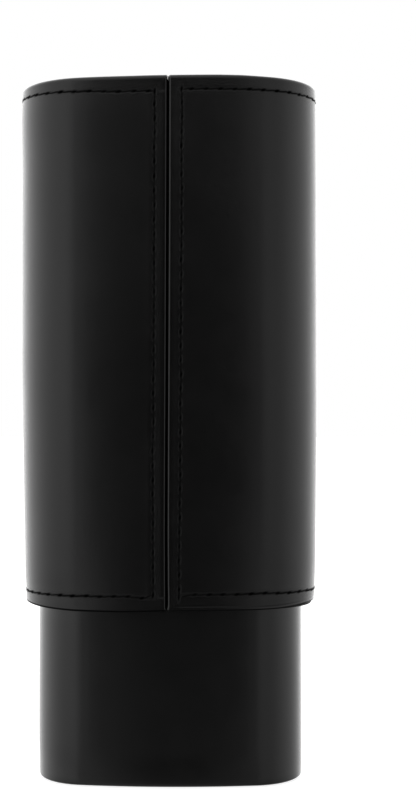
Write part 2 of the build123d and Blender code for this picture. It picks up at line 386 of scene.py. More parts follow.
def stitched(arc, z):
    """How the sewing shapes the leather's surface, in mm outwards."""
    signed = fold(arc)
    height = np.zeros(np.broadcast(signed, z).shape)
    top, bottom = row_top(signed), row_bottom(signed)
    outside = smooth(np.abs(signed - seam_x(z)), SEAM_ROW - 0.5, SEAM_ROW + 0.1)
    # each row: level, direction of the nearer edge, swell on that side, swell on the other
    for level, edge, near_swell, far_swell in (
        (top, 1, 0.006, 0.004),
        (bottom, -1, 0.020, 0.014),
    ):
        across = (z - level) * edge
        height -= 0.020 * bell(across, 0.40) * outside
        height += near_swell * bell(across - 1.5, 0.9) * outside
        height += far_swell * bell(across + 1.3, 0.9) * outside
    inside = smooth(z, bottom - 0.3, bottom + 0.3) * smooth(-z, -top - 0.3, -top + 0.3)
    pucker = 0.6 * soft_noise(signed, z, 1.5, 1.3, 31, 170)
    pucker = pucker + 0.4 * soft_noise(signed, z, 0.9, 2.4, 32)
    for side in (-1, 1):
        across = (signed - seam_row_arc(z, side)) * side
        height -= 0.02 * bell(across, 0.40) * inside
        if side < 0:  # the left edge lies a little higher, more so towards the mouth
            lifted = lookup(z, [(ROW_BOTTOM, 0.105), (ROW_TOP, 0.045)])
            height += lifted * bell(across + 2.5, 1.5) * inside
        else:
            height += 0.030 * bell(across + 1.0, 0.8) * inside
        height += 0.03 * bell(across - 1.3, 0.9) * inside
        height += 0.010 * pucker * bell(across - 0.2, 1.6) * inside
    return height


def hole_marks(arc, z):
    """Needle holes pulled in by tight thread: a slot along the row, its lips raised on both sides.
    Returns the height, and the painted shade: how deep in the hole each point is, which the material
    paints black and dull."""
    signed, z = np.broadcast_arrays(fold(arc), z)
    height, pit_shade = np.zeros(signed.shape), np.zeros(signed.shape)
    for (hole_arc, hole_z, upright), depth, lips in zip(holes, hole_depth, hole_lip):
        hole_arc = fold(hole_arc)
        near = (np.abs(signed - hole_arc) < 2.0) & (np.abs(z - hole_z) < 2.0)
        if not near.any():
            continue
        from_arc, from_z = (signed - hole_arc)[near], (z - hole_z)[near]
        if upright:
            along, across = from_z, from_arc - 0.10 * from_z
            length, width = 0.62, 0.25
        else:
            along, across = from_arc, from_z - 0.16 * from_arc
            length, width = 0.58, 0.27
        slot = np.exp(-((along / length) ** 2) - (across / width) ** 2)
        ridge = (along / (length * 1.2)) ** 2 + ((np.abs(across) - 0.66) / 0.34) ** 2
        lip = np.exp(-ridge) * np.where(across > 0, *lips)
        height[near] += (-0.15 * slot + 0.012 * lip) * depth
        # painted shade: the slot's own walls are in its shade, out to where they meet the open
        # surface, and are painted dark
        pit_shade[near] = np.maximum(pit_shade[near], np.clip(2.15 * slot**0.6 * depth, 0, 1))
    return height, pit_shade


# ------------------------------------------------------------------ sleeve wrap
def wrap_columns():
    """Arcs of the wrap's columns, fine beside the seam, and how many lie on one side of it."""
    turn = np.radians(np.linspace(0, 90, 7))

    def near_seam(radius):
        cut = SEAM_GAP + radius * (1 - np.cos(turn))
        return np.concatenate([cut, np.linspace(cut[-1], 7.12, 27)[1:]])

    right, left = near_seam(CUT_RIGHT), near_seam(CUT_LEFT)
    count = int(round((LOOP - 2 * right[-1]) / 0.33))
    count += (-count) % 2
    middle = np.linspace(right[-1], LOOP - right[-1], count + 1)[1:-1]
    return np.concatenate([right, middle, (LOOP - left)[::-1]]), len(right)


def face_stations():
    """Heights of the lines up the outer face, finer round the two thread rows, and the indices at
    which the bottom row, the middle and the top row start and end."""
    heights = [FACE_LO]
    heights += list(np.arange(FACE_LO + 0.1, FACE_LO + 1.0, 0.12))
    heights += list(np.arange(FACE_LO + 1.2, ROW_BOTTOM - 1.9, 0.24))
    marks = [len(heights)]
    heights += list(np.arange(ROW_BOTTOM - 1.75, ROW_BOTTOM + 1.9, 0.17))
    marks.append(len(heights) - 1)
    heights += list(np.arange(heights[-1] + 0.3, ROW_BOTTOM + 4.4, 0.33))
    marks.append(len(heights) - 1)
    low, high = heights[-1], ROW_TOP - 4.4
    count = int(round((high - low) / 0.33))
    count += (-count) % 8
    heights += list(np.linspace(low, high, count + 1)[1:])
    marks.append(len(heights) - 1)
    heights += list(np.arange(high + 0.33, ROW_TOP - 2.0, 0.33))
    marks.append(len(heights))
    heights += list(np.arange(ROW_TOP - 1.9, ROW_TOP + 1.75, 0.17))
    marks.append(len(heights) - 1)
    heights += list(np.arange(heights[-1] + 0.2, FACE_HI - 0.1, 0.2)) + [FACE_HI]
    return heights, marks


def wrap_section(heights):
    """Section lines with a sixth value, the level: height as measured along the leather.
    Also the indices of the first face line, the lip's last line and the inner face's first."""
    foot, thick = WRAP_FOOT, WRAP_THICK
    lines = [(-thick, foot, 0, -1, 0.0, foot), (-0.9, foot, 0, -1, 0.3, foot)]
    for line in corner_lines(-FOOT_RADIUS, FACE_LO, FOOT_RADIUS, -90, 0, 6):
        lines.append((*line, FACE_LO))
    first_face = len(lines) - 1
    lines += [(0.0, z, 1, 0, 1.0, z) for z in heights[1:]]
    for line in corner_lines(-CROWN_RADIUS, FACE_HI, CROWN_RADIUS, 0, 90, 12)[1:]:
        lines.append((*line, FACE_HI + CROWN_RADIUS * math.atan2(line[3], line[2])))
    over = FACE_HI + CROWN_RADIUS * math.pi / 2  # level where the crown becomes flat
    for out in (-1.45, -1.8, -2.2, -2.7):
        lines.append((out, CROWN, 0, 1, 1.0, over - out - CROWN_RADIUS))
    lip_out = -CORE_INSET - 0.4
    lip = corner_lines(lip_out + LIP_RADIUS, CROWN - LIP_RADIUS, LIP_RADIUS, 90, 180, 5, 0.6)
    lines += [(*line, over + 1.0) for line in lip]
    panel_top = z_span("sleeve_end_leather")[1]
    under, core_out = CROWN - TURN_THICK, -CORE_INSET - 0.03
    lines.append((lip_out, panel_top - 0.18, -1, 0, 0.0, FACE_HI))
    lines.append((core_out, panel_top - 0.25, 0, -1, 0.0, FACE_HI))
    lines.append((core_out, under, -1, 0, 0.0, FACE_HI))
    lip_last = len(lines) - 1
    lines.append((-2.2, under, 0, -1, 0.0, FACE_HI))
    lines.append((-thick, under, 0, -1, 0.0, FACE_HI))
    inner_first = len(lines) - 1
    lines += [(-thick, z, -1, 0, 0.0, z) for z in np.linspace(under, foot, 26)[1:-1]]
    return np.array(lines), first_face, lip_last, inner_first


def wrap_blocks(columns, near, rows, marks, lip, inner):
    """Blocks of the wrap's grid: fine beside the seam and round the rows, coarse elsewhere."""
    right, left = near - 1, columns - near
    blocks = []
    for i0, i1 in ((0, right), (left, columns - 1)):
        blocks += [(i0, i1, 1, 2, lip, 1), (i0, i1, 6, lip, inner, 1)]
        blocks += [(i0, i1, 6, inner, rows, 1), (i0, i1, 3, 0, 2, 1)]
    low0, low1, mid0, mid1, top0, top1 = marks
    # (column step, first row, last row, row step)
    for block in (
        (2, 0, 2, 1), (2, 2, low0, 1), (1, low0, low1, 1), (2, low1, mid0, 2),
        (2, mid0, mid1, 8), (2, mid1, top0, 2), (1, top0, top1, 1), (2, top1, lip, 1),
        (4, lip, inner, 1), (4, inner, rows, 2),
    ):
        blocks.append((right, left, *block))
    return blocks


def sleeve_wrap():
    columns, near = wrap_columns()
    heights, marks = face_stations()
    lines, first_face, lip_last, inner_first = wrap_section(heights)
    arc = columns[:, None]
    out, z, out_dir, up_dir, weight, level = lines.T[:, None, :]
    at_crown, at_mouth = level > SPLIT, level < SPLIT
    shaped, moved = weight > 0.5, weight > 0.05
    face = (out_dir > 0.999) & shaped

    # the cut ends are rounded off
    from_cut = np.minimum(columns, LOOP - columns) - SEAM_GAP
    cut_radius = np.where(columns < HALF_LOOP, CUT_RIGHT, CUT_LEFT)
    cut_drop = round_off(from_cut, cut_radius)[:, None]
    # the rows are not dead level, so the grid lines follow them
    row_shift = (row_top(arc) - ROW_TOP) * smooth(3.3 - np.abs(level - ROW_TOP), 0, 1.2)
    row_shift = row_shift + (row_bottom(arc) - ROW_BOTTOM) * smooth(
        3.0 - np.abs(level - ROW_BOTTOM), 0, 1.2
    )
    shifted = level + row_shift
    # near the seam the columns follow the seam's lean
    signed = fold(arc)
    lean = seam_x(level) * smooth(9.0 - np.abs(signed), 0, 3.0)
    # the cut ends draw together inside the crown and at the mouth
    close_crown = smooth(-out, 0.3, 1.2) * at_crown
    close_mouth = smooth(-level, -WRAP_FOOT - 1.1, -WRAP_FOOT - 0.35) * at_mouth * shaped
    close = np.maximum(close_crown, close_mouth) * smooth(1.6 - np.abs(signed), 0, 1.3)
    lean = lean - np.sign(signed) * (SEAM_GAP - 0.05) * close
    leaned = arc + lean
    signed = fold(leaned)
    face_z = np.where(face, z + row_shift, z)

    dent, pit_shade = hole_marks(leaned, shifted)
    # a crease just above the lower edge, right of the seam, with a swell over it
    crease = 0.03 * bell(shifted - (WRAP_FOOT + 1.2), 0.25)
    crease = crease - 0.09 * bell(shifted - (WRAP_FOOT + 0.80), 0.15)
    crease = crease * smooth(signed, 1.5, 4.0) * at_mouth
    push = (stitched(leaned, shifted) + dent + crease - cut_drop) * weight
    broad = bulge(leaned, face_z) + wave(leaned, face_z)
    stay = np.where(at_crown, smooth(out, -2.3, -1.0), 1.0)
    new_out = out + out_dir * push + broad * stay * moved
    rise = lookup(signed_or(arc), CROWN_RISE) * smooth(level, ROW_TOP + 0.3, FACE_HI + 0.3)
    new_z = face_z + up_dir * push + rise * moved
    # where the edge stands high its inner corner stays down, so that the board is covered
    edge_rise = lookup(signed_or(arc), EDGE_RISE)
    covered = edge_rise * smooth(out, -WRAP_THICK + 0.1, -0.5)
    edge_rise = np.where(edge_rise > 0, covered, edge_rise)
    new_z = new_z + edge_rise * smooth(-z, -ROW_BOTTOM + 0.7, -WRAP_FOOT - 1.2)
    verts = wall_points(leaned, new_out, new_z)

    marks = [first_face + mark for mark in marks]
    size = (len(columns), len(lines))
    blocks = wrap_blocks(size[0], near, size[1], marks, lip_last, inner_first)
    used, faces = grid_faces(*size, blocks)

    # burnished and rubbed places, for the material
    cut = bell(from_cut, 1.1)[:, None] * shaped
    rim = np.maximum(bell(level - WRAP_FOOT, 0.9), bell(level - (FACE_HI + 1.2), 1.6)) * shaped
    edge = np.clip(np.maximum(cut, rim), 0, 1)
    # painted shade: holes and the deep sides of the seam catch no light, and the rows' groove
    # catches little, so they are painted black and dull
    groove_top = bell(shifted - row_top(leaned), 0.34)
    groove_bottom = bell(shifted - row_bottom(leaned), 0.38)
    groove = np.maximum(groove_top, groove_bottom) * (np.abs(signed) > SEAM_ROW - 0.6) * face
    deep = smooth(cut_drop, 0.16, 0.40) * face
    pit_shade = np.clip(np.maximum(np.maximum(pit_shade, 0.50 * groove), deep), 0, 1) * shaped
    # painted shade, partly edge paint: the lowest half millimetre of the leather, more on the left,
    # is painted dull black for the shadow line under the sleeve's lower edge and the matte paint on
    # its cut edge
    shade_line_top = np.where(signed < 0, 0.50, 0.30)
    edge_paint_shade = 0.9 * smooth(WRAP_FOOT - z, -shade_line_top - 0.12, -shade_line_top + 0.06) * at_mouth
    edge_paint_shade = edge_paint_shade * (z < WRAP_FOOT + 1) * (out > -WRAP_THICK + 0.01)
    pit_shade = np.maximum(pit_shade, edge_paint_shade)
    return add_mesh("sleeve_leather", verts[used], faces, {"edge": edge[used], "pit_shade": pit_shade[used]})


signed_or = fold  # arcs for the crown and edge tables, which run from -HALF_LOOP to HALF_LOOP


# ------------------------------------------------------------------ thread
THREAD_SIDES = 12
THREAD_TWIST = 5.2  # radians per mm
THREAD_PLY = 0.11  # how far the plies stand out, as a share of the radius
THREAD_WIDE, THREAD_HIGH = 0.29, 0.25  # radii across the leather and away from it


def sweep(path, normal, swell, phase):
    """One stitch: a tube along path whose section has twisted plies. Returns verts and faces."""
    tangent = np.gradient(path, axis=0)
    tangent /= np.linalg.norm(tangent, axis=1)[:, None]
    side = np.cross(tangent, normal)
    side /= np.linalg.norm(side, axis=1)[:, None]
    up = np.cross(side, tangent)
    steps = np.linalg.norm(np.diff(path, axis=0), axis=1)
    length = np.concatenate([[0], np.cumsum(steps)])
    angle = np.linspace(0, 2 * math.pi, THREAD_SIDES, endpoint=False)
    verts, faces = [], []
    for i in range(len(path)):
        plies = np.abs(np.cos(1.5 * (angle + THREAD_TWIST * length[i] + phase)))
        radius = (1 + THREAD_PLY * plies - THREAD_PLY * 0.6) * swell[i]
        across = side[i] * (np.cos(angle) * radius * THREAD_WIDE)[:, None]
        away = up[i] * (np.sin(angle) * radius * THREAD_HIGH)[:, None]
        verts.append(path[i] + across + away)
    for i in range(len(path) - 1):
        here, there = i * THREAD_SIDES, (i + 1) * THREAD_SIDES
        for j in range(THREAD_SIDES):
            k = (j + 1) % THREAD_SIDES
            faces.append([here + j, here + k, there + k, there + j])
    faces.append(list(range(THREAD_SIDES))[::-1])
    faces.append([(len(path) - 1) * THREAD_SIDES + j for j in range(THREAD_SIDES)])
    return np.concatenate(verts), faces


def thread_run(name, points, slant, upright=False):
    """A row of stitches from hole to hole over the sleeve's broad surface."""
    verts, faces, sunk = [], [], []
    base = 0
    ratio = np.linspace(0, 1, 19)
    for (arc0, z0), (arc1, z1) in zip(points[:-1], points[1:]):
        if math.hypot(arc1 - arc0, z1 - z0) > 5.5:
            continue
        # the thread leans across the row and dives into the needle holes at both ends
        inset = 0.045 + rng.normal(0, 0.012)
        along = inset + (1 - 2 * inset) * ratio
        lean = slant * (1 + rng.normal(0, 0.12)) * np.sin(math.pi * (ratio - 0.5) * 0.96)
        arc = arc0 + (arc1 - arc0) * along
        z = z0 + (z1 - z0) * along
        if upright:
            arc = arc + lean
        else:
            z = z + lean
        dive = np.clip(np.minimum(ratio, 1 - ratio) / 0.20, 0, 1)
        lift = -0.85 + (0.66 + rng.normal(0, 0.02)) * np.sin(dive * math.pi / 2) ** 0.9
        lift += 0.05 * np.sin(math.pi * ratio)
        path = wall_points(arc, bulge(arc, z) + wave(arc, z) + lift, z)
        normal = np.column_stack([oval(arc)[1], np.zeros_like(z)])
        swell = 0.86 + 0.14 * np.sin(math.pi * ratio) ** 0.5
        stitch, stitch_faces = sweep(path, normal, swell, phase=rng.uniform(0, 6))
        verts.append(stitch)
        sunk.append(np.repeat(1 - smooth(dive, 0.35, 1.0), THREAD_SIDES))
        faces += [[base + corner for corner in face] for face in stitch_faces]
        base += len(stitch)
    return add_mesh(name, np.concatenate(verts), faces, {"sunk": np.concatenate(sunk)})


# ------------------------------------------------------------------ tubes and panels
def tube(name, lines, spacing, shape, seam_gap=None, edge=None):
    """An oval ring with a given wall section and a relief from shape(arc, out, z, out_dir, up_dir).
    With a seam gap it is an open sheet whose rounded ends meet at the back centre."""
    closed = seam_gap is None
    if closed:
        count = int(round(LOOP / spacing))
        columns = np.arange(count) * LOOP / count
        cut_drop = 0.0
    else:
        cut_radius = 0.3
        count = int(round((LOOP - 2 * seam_gap) / spacing))
        ends = seam_gap + cut_radius * (1 - np.cos(np.radians(np.linspace(0, 90, 5))))
        inner = np.linspace(ends[-1], LOOP - ends[-1], count)[1:-1]
        columns = np.concatenate([ends, inner, (LOOP - ends)[::-1]]) - HALF_LOOP
        cut_drop = round_off(HALF_LOOP - np.abs(columns) - seam_gap, cut_radius)[:, None]
    arc = columns[:, None]
    out, z, out_dir, up_dir, weight = np.array(lines).T[:, None, :]
    push = (shape(arc, out, z, out_dir, up_dir) - cut_drop) * weight
    new_out = out + out_dir * push
    verts = wall_points(arc, new_out, z + up_dir * push)
    columns_n, rows = new_out.shape
    last = columns_n if closed else columns_n - 1
    used, faces = grid_faces(columns_n, rows, [(0, last, 1, 0, rows, 1)], closed)
    attrs = {}
    if edge is not None:
        attrs["edge"] = np.broadcast_to(edge(z), new_out.shape)[used]
    return add_mesh(name, verts[used], faces, attrs)


def band_lines(outer, inner, z_low, z_high, r_outer, r_inner, face_steps):
    """Section of a band, its outer corners rounded by r_outer and its inner ones by r_inner."""
    middle = (outer + inner) / 2
    lines = corner_lines(outer - r_outer, z_low + r_outer, r_outer, -90, 0, 5)
    for z in np.linspace(z_low + r_outer, z_high - r_outer, face_steps + 1)[1:-1]:
        lines.append((outer, z, 1, 0, 1.0))
    lines += corner_lines(outer - r_outer, z_high - r_outer, r_outer, 0, 90, 5)
    lines.append((middle, z_high, 0, 1, 1.0))
    lines += corner_lines(inner + r_inner, z_high - r_inner, r_inner, 90, 180, 4)
    for z in np.linspace(z_high - r_inner, z_low + r_inner, face_steps + 1)[1:-1]:
        lines.append((inner, z, -1, 0, 1.0))
    lines += corner_lines(inner + r_inner, z_low + r_inner, r_inner, 180, 270, 4)
    lines.append((middle, z_low, 0, -1, 1.0))
    return lines


def panel(name, inset, z_show, z_back, radius, dome, back, middle, rim=()):
    """A closed oval panel, built from rings (inset, z, scale, dome) from the centre of the side
    that shows, round the edge, to the centre of its back.

    back lists the insets of the full rings on the back, middle is the inset of the shrinking ones,
    and rim holds (inset, z) of rings between the rounded edge and the back.
    """
    rings = [(inset + 6, z_show, scale, dome) for scale in (0.1, 0.3, 0.5, 0.7, 0.85)]
    rings += [(inset + step, z_show, 1, dome) for step in (6, 4.5, 3, 2, 1.2)]
    facing = 1 if z_show > z_back else -1
    for angle in np.radians(np.linspace(0, 90, 6)):
        z = z_show - facing * (radius - radius * math.cos(angle))
        rings.append((inset + radius - radius * math.sin(angle), z, 1, 0.0))
    rings += [(ring_inset, z, 1, 0) for ring_inset, z in rim]
    rings += [(ring_inset, z_back, 1, 0) for ring_inset in back]
    rings += [(middle, z_back, scale, 0) for scale in (0.8, 0.6, 0.4, 0.2, 0.1)]

    count = int(round(LOOP / 0.8))
    points, normals = oval(np.arange(count) * LOOP / count)
    verts = []
    for ring_inset, z, scale, height in rings:
        xy = (points - normals * ring_inset) * scale
        from_centre = np.hypot(xy[:, 0] / 38, xy[:, 1] / 17)
        verts.append(np.column_stack([xy, z + height * np.clip(1 - from_centre**2, 0, 1)]))
    centres = [[0, 0, float(np.mean(ring[:, 2]))] for ring in (verts[0], verts[-1])]
    verts = np.concatenate(verts + [centres])
    faces = []
    last = (len(rings) - 1) * count
    for here in range(0, last, count):
        there = here + count
        for j in range(count):
            k = (j + 1) % count
            faces.append([here + j, here + k, there + k, there + j])
    first_centre, last_centre = len(verts) - 2, len(verts) - 1
    for j in range(count):
        k = (j + 1) % count
        faces.append([first_centre, k, j])
        faces.append([last_centre, last + j, last + k])
    return add_mesh(name, verts, faces)


# ------------------------------------------------------------------ build the sleeve
def binding_shape(arc, out, z, out_dir, up_dir):
    """Slight unevenness on the inner part of the underside."""
    return 0.03 * soft_noise(arc, z * 0 + 10, 6, 9, 44) * (up_dir < -0.3) * (out < -1.8)


def lining_shape(arc, out, z, out_dir, up_dir):
    return np.where(out_dir < -0.7, 0.05 * soft_noise(arc, z, 14, 16, 51) - 0.03, 0.0)


def lining_tube(name, outer_inset, inner_inset, frame_name):
    """A thin lining sheet as high as its frame piece."""
    low, high = z_span(frame_name)
    lines = band_lines(-outer_inset, -inner_inset, low, high, 0.1, 0.1, face_steps=30)
    return tube(name, lines, spacing=0.9, shape=lining_shape)


wrap = sleeve_wrap()
crown_thread = thread_run("crown_thread", row_points["top"], slant=0.17)
mouth_thread = thread_run("mouth_thread", row_points["bottom"], slant=0.17)
left_thread = thread_run("seam_thread_left", seam_points[-1][::-1], slant=-0.10, upright=True)
right_thread = thread_run("seam_thread_right", seam_points[1][::-1], slant=-0.10, upright=True)

binding_lines = band_lines(
    -WRAP_THICK - 0.05, -LINING_INSET, MOUTH, WRAP_FOOT - 0.01, 0.2, 0.2, face_steps=2
)
binding = tube("sleeve_mouth_edge", binding_lines, spacing=0.6, shape=binding_shape)

end_lo, end_hi = z_span("sleeve_end_leather")
end_inset, end_back = CORE_INSET + 0.02, end_hi - 1.0
end_rim = [
    (end_inset, end_lo + 3), (end_inset, end_lo), (LINING_INSET, end_lo),
    (LINING_INSET, end_lo + 3), (LINING_INSET, end_back),
]
end_panel = panel(
    "sleeve_end_panel", end_inset, z_show=end_hi, z_back=end_back, radius=0.75, dome=0.16,
    back=(6, 8, 10), middle=10, rim=end_rim,
)
sleeve_lining = lining_tube(
    "sleeve_lining_sheet", CORE_INSET + 0.03, LINING_INSET, "sleeve_lining"
)
ceiling_lo, ceiling_hi = z_span("sleeve_ceiling_lining")
ceiling_inset = LINING_INSET + 0.03
ceiling = panel(
    "sleeve_ceiling_sheet", ceiling_inset, z_show=ceiling_lo, z_back=ceiling_hi, radius=0.3,
    dome=-0.10, back=(ceiling_inset, 5, 8), middle=10,
)

# ------------------------------------------------------------------ build the cup
CUP_FACE = -CUP_INSET
CUP_FOOT, CUP_RIM = cup_lo[2], cup_hi[2]
foot_lo, foot_hi = z_span("cup_foot_leather")
CUP_TURN_IN = 5.0  # how far the leather reaches in under the foot
FOOT_ROUND = 0.95  # radius of the lower edge

# (arc from the face's centre, how far the cup's wall stands out)
CUP_FLAT = [
    (0, -0.27), (4, -0.25), (8, -0.20), (12, -0.12), (16, -0.02), (20, 0.09), (22.5, 0.13),
    (24.7, 0.115), (26.7, 0.06), (28.7, 0.02), (32, 0.01), (40, 0.0),
]


def cup_section():
    """The cup leather's section: under the foot, up the wall, over the rim and down inside."""
    turned, inside = CUP_FACE - CUP_TURN_IN, CUP_FACE - CUP_WRAP_THICK
    lines = [(turned, foot_hi, 0, 1, 0.0), (turned, CUP_FOOT + 0.45, -1, 0, 0.3)]
    lines += corner_lines(turned + 0.25, CUP_FOOT + 0.25, 0.25, 180, 270, 4)
    for step in (4.3, 3.8, 3.2, 2.6, 2.0, 1.4):
        lines.append((CUP_FACE - step, CUP_FOOT, 0, -1, 1.0))
    foot_top = CUP_FOOT + FOOT_ROUND
    lines += corner_lines(CUP_FACE - FOOT_ROUND, foot_top, FOOT_ROUND, -90, 0, 9)
    for z in np.linspace(foot_top, CUP_RIM - 0.7, 92)[1:-1]:
        lines.append((CUP_FACE, z, 1, 0, 1.0))
    lines += corner_lines(CUP_FACE - 0.7, CUP_RIM - 0.7, 0.7, 0, 90, 7)
    lines.append((CUP_FACE - 1.6, CUP_RIM, 0, 1, 1.0))
    lines.append((CUP_FACE - 2.3, CUP_RIM, 0, 1, 1.0))
    lines += corner_lines(CUP_FACE - 2.8, CUP_RIM - 0.4, 0.4, 90, 180, 5)
    lines.append((CUP_FACE - 3.2, CUP_RIM - 0.9, -1, 0, 0.0))
    lines.append((inside, CUP_RIM - 0.9, 0, -1, 0.0))
    for z in np.linspace(CUP_RIM - 0.9, foot_hi, 22)[1:]:
        lines.append((inside, z, -1, 0, 0.0))
    return lines


def cup_shape(arc, out, z, out_dir, up_dir):
    signed = fold(arc)
    far = np.abs(signed)
    noise = 0.030 * soft_noise(arc, z, 19, 23, 61) + 0.012 * soft_noise(arc, z, 7, 8, 62)
    # slight pull either side of the back seam
    pull = 0.05 * bell(HALF_LOOP - far - 0.9, 0.7)
    height = np.where(out_dir > 0.7, noise + pull, 0.0)
    # the leather is gathered where it turns under the foot round the ends
    under = (up_dir < -0.5) & (out < CUP_FACE - 0.6)
    on_end = smooth(far, ARC_FACE - 3, ARC_FACE + 4) * smooth(-far, -ARC_END - 3, -ARC_END + 4)
    fade = smooth(CUP_FACE - out, 1.2, 3.2)
    pleat = 0.10 * (np.abs(np.sin(signed * 1.45 + 0.6 * np.sin(signed * 0.5))) ** 0.6 - 0.75)
    height = height + np.where(under, pleat * on_end * fade, 0.0)
    flat = lookup(np.minimum(far, HALF_LOOP - far), CUP_FLAT) * smooth(z, 3, 9)
    height = height + np.where(out_dir > 0.95, flat, 0.0)
    # the left end is fuller below the sleeve's mouth
    full = smooth(-oval(arc)[0][..., 0], 15, 36) * smooth(z, 4, 12)
    full = full * smooth(-z, -MOUTH - 1, -MOUTH + 4)
    return height + np.where(out_dir > 0.05, 0.16 * full, 0.0)


def cup_edge(z):
    """Rubbed places at the foot and the rim, for the material."""
    return np.clip(bell(z - CUP_FOOT - 0.4, 1.5) + bell(z - CUP_RIM, 1.6), 0, 1)


cup_wrap = tube(
    "cup_leather", cup_section(), spacing=0.62, shape=cup_shape, seam_gap=CUP_SEAM_GAP,
    edge=cup_edge,
)
foot_inset = CUP_INSET + CUP_TURN_IN + 0.08
foot = panel(
    "cup_foot_panel", foot_inset, z_show=foot_lo, z_back=foot_hi, radius=0.35, dome=0.0,
    back=(foot_inset, foot_inset + 2), middle=foot_inset + 5,
)
cup_inner = CUP_INSET + CUP_WRAP_THICK + CUP_CORE_THICK
cup_lining = lining_tube("cup_lining_sheet", cup_inner + 0.02, cup_inner + 0.8, "cup_lining")
floor_lo, floor_hi = z_span("cup_floor_lining")
floor_inset = cup_inner + 0.82
cup_floor = panel(
    "cup_floor_sheet", floor_inset, z_show=floor_hi, z_back=floor_lo, radius=0.25, dome=0.05,
    back=(floor_inset, floor_inset + 3), middle=floor_inset + 5,
)


# ------------------------------------------------------------------ materials
def grey(value):
    return (value,) * 3


class Tree:
    """Makes and links shader nodes in an emptied node tree."""

    def __init__(self, owner):
        owner.use_nodes = True
        self.tree = owner.node_tree
        self.tree.nodes.clear()

    def new(self, kind, inputs=None, **props):
        node = self.tree.nodes.new(kind)
        for key, value in props.items():
            setattr(node, key, value)
        for key, value in (inputs or {}).items():
            self.put(node, key, value)
        return node

    def put(self, node, key, value):
        """Links a socket to an input, or sets the input's value."""
        socket = node.inputs[key]
        if isinstance(value, bpy.types.NodeSocket):
            self.tree.links.new(value, socket)
        elif socket.type == "RGBA":
            socket.default_value = (*value, 1)
        else:
            socket.default_value = value

    def maths(self, operation, *values, clamp=False):
        inputs = dict(enumerate(values))
        node = self.new("ShaderNodeMath", inputs, operation=operation, use_clamp=clamp)
        return node.outputs[0]

    def remap(self, value, span, to):
        inputs = {"Value": value, "From Min": span[0], "From Max": span[1]}
        inputs.update({"To Min": to[0], "To Max": to[1]})
        return self.new("ShaderNodeMapRange", inputs, clamp=True).outputs[0]

    def mix(self, factor, first, second):
        inputs = {0: factor, 6: first, 7: second}
        return self.new("ShaderNodeMix", inputs, data_type="RGBA").outputs[2]


class Material(Tree):
    """A principled material whose textures are laid out in millimetres."""

    def __init__(self, name):
        self.data = bpy.data.materials.new(name)
        super().__init__(self.data)
        output = self.new("ShaderNodeOutputMaterial")
        self.shader = self.new("ShaderNodeBsdfPrincipled")
        self.put(output, 0, self.shader.outputs[0])
        coords = self.new("ShaderNodeTexCoord").outputs["Object"]
        inputs = {"Scale": grey(1 / MM), "Vector": coords}
        self.mm = self.new("ShaderNodeMapping", inputs).outputs[0]

    def set(self, key, value):
        self.put(self.shader, key, value)

    def noise(self, scale, detail=3, rough=0.5, distortion=0.0):
        inputs = {"Scale": scale, "Detail": detail, "Roughness": rough}
        inputs.update({"Distortion": distortion, "Vector": self.mm})
        return self.new("ShaderNodeTexNoise", inputs).outputs["Fac"]

    def voronoi(self, scale, feature="F1", vector=None):
        inputs = {"Scale": scale, "Randomness": 1.0, "Vector": vector or self.mm}
        return self.new("ShaderNodeTexVoronoi", inputs, feature=feature).outputs["Distance"]

    def blend(self, *parts):
        """The sum of (value, share) pairs."""
        total = None
        for value, share in parts:
            part = self.maths("MULTIPLY", value, share)
            total = part if total is None else self.maths("ADD", total, part)
        return total

    def attribute(self, name):
        return self.new("ShaderNodeAttribute", attribute_name=name).outputs["Fac"]

    def bump(self, height, strength, depth):
        """Relief of a given depth in mm."""
        inputs = {"Strength": strength, "Distance": depth * MM, "Height": height}
        self.set("Normal", self.new("ShaderNodeBump", inputs).outputs[0])


